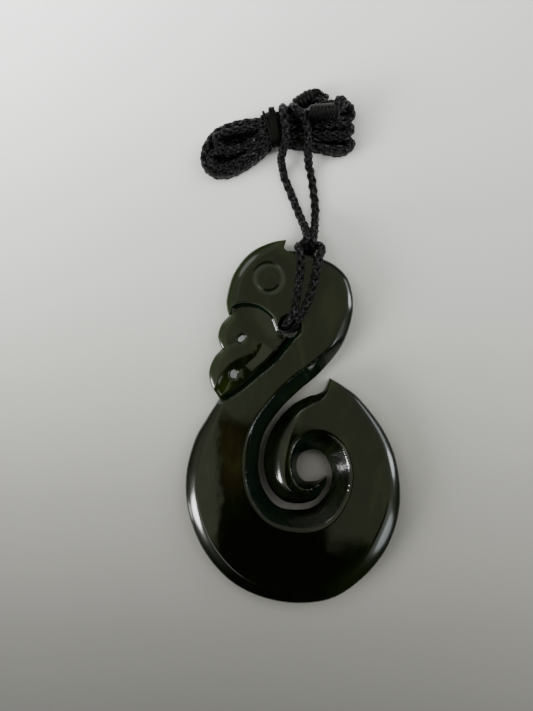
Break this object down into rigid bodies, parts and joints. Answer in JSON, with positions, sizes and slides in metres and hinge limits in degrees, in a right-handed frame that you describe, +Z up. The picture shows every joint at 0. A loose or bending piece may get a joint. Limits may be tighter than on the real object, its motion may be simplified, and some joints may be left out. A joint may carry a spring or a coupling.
{
  "type": "greenstone pendant",
  "caption": "Carved greenstone pendant in a beaked, curling figure shape, flat and polished, on a black braided neck cord with its spare length bundled and two sliding knots.",
  "frame": {"origin": "middle of the stone's back face, on the surface that it lies on", "axes": "+Y along the stone's length towards its head and the bundled cord, +Z up through its thickness, out of the carved face, +X towards the side that the beak turns away from"},
  "size_m": [0.0428, 0.1027, 0.0089],
  "materials": {
    "greenstone": "highly polished, slightly translucent dark green nephrite with softer mottling",
    "black_cord": "braided waxed polyester, soft sheen",
    "black_rubber": "matte black elastic"
  },
  "bodies": {
    "root": {"manaia_stone": "greenstone", "neck_cord": "black_cord", "cord_hank": "black_cord", "hank_band": "black_rubber", "slide_knot_low": "black_cord", "slide_knot_high": "black_cord"}
  },
  "joints": []
}
